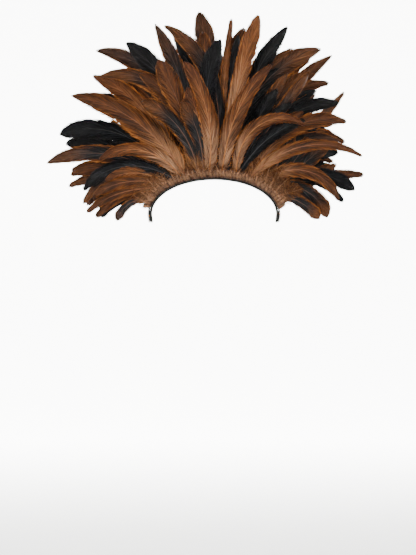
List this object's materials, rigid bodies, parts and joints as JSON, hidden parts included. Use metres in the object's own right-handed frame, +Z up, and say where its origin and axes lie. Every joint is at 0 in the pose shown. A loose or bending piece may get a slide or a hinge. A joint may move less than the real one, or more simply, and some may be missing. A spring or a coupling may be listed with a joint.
{
  "type": "feathered headdress",
  "caption": "Headband worn across the crown, with a fan of long curved brown, tan and black tail feathers, a ribbed roll of bound down and a trim of seed beads.",
  "frame": {"origin": "middle of the band's inner face at the crown of the head, halfway between the band's front and rear edges", "axes": "+Z up when worn, +Y the way the wearer faces, +X to the wearer's right"},
  "size_m": [0.4193, 0.12, 0.288],
  "materials": {
    "band": "black woven cloth over a stiff core",
    "beads": "glossy black seed beads with a few amber ones",
    "down": "soft bound feather down",
    "feather_tan": "satin barbs",
    "feather_brown": "satin barbs",
    "feather_dark": "satin barbs with a charcoal heart",
    "feather_black": "glossy barbs with a blue-grey sheen"
  },
  "bodies": {
    "root": {"bead_trim": "beads", "down_roll": "down", "feather_01_tan": "feather_tan", "feather_02_tan": "feather_tan", "feather_03_tan": "feather_tan", "feather_04_tan": "feather_tan", "feather_05_brown": "feather_brown", "feather_06_dark": "feather_dark", "feather_07_dark": "feather_dark", "feather_08_brown": "feather_brown", "feather_09_dark": "feather_dark", "feather_10_brown": "feather_brown", "feather_11_tan": "feather_tan", "feather_12_black": "feather_black", "feather_13_black": "feather_black", "feather_14_brown": "feather_brown", "feather_15_black": "feather_black", "feather_16_brown": "feather_brown", "feather_17_brown": "feather_brown", "feather_18_black": "feather_black", "feather_19_dark": "feather_dark", "feather_20_brown": "feather_brown", "feather_21_dark": "feather_dark", "feather_22_black": "feather_black", "feather_23_dark": "feather_dark", "feather_24_dark": "feather_dark", "feather_25_tan": "feather_tan", "feather_26_black": "feather_black", "feather_27_dark": "feather_dark", "feather_28_dark": "feather_dark", "feather_29_dark": "feather_dark", "feather_30_brown": "feather_brown", "feather_31_dark": "feather_dark", "feather_32_brown": "feather_brown", "feather_33_black": "feather_black", "feather_34_dark": "feather_dark", "feather_35_brown": "feather_brown", "feather_36_dark": "feather_dark", "feather_37_black": "feather_black", "feather_38_black": "feather_black", "feather_39_dark": "feather_dark", "feather_40_black": "feather_black", "feather_41_black": "feather_black", "feather_42_dark": "feather_dark", "feather_43_black": "feather_black", "feather_44_tan": "feather_tan", "feather_45_black": "feather_black", "feather_46_dark": "feather_dark", "feather_47_black": "feather_black", "feather_48_dark": "feather_dark", "feather_49_tan": "feather_tan", "feather_50_brown": "feather_brown", "feather_51_dark": "feather_dark", "feather_52_dark": "feather_dark", "feather_53_tan": "feather_tan", "feather_54_brown": "feather_brown", "feather_55_black": "feather_black", "feather_56_dark": "feather_dark", "feather_57_brown": "feather_brown", "headband": "band"}
  },
  "joints": []
}
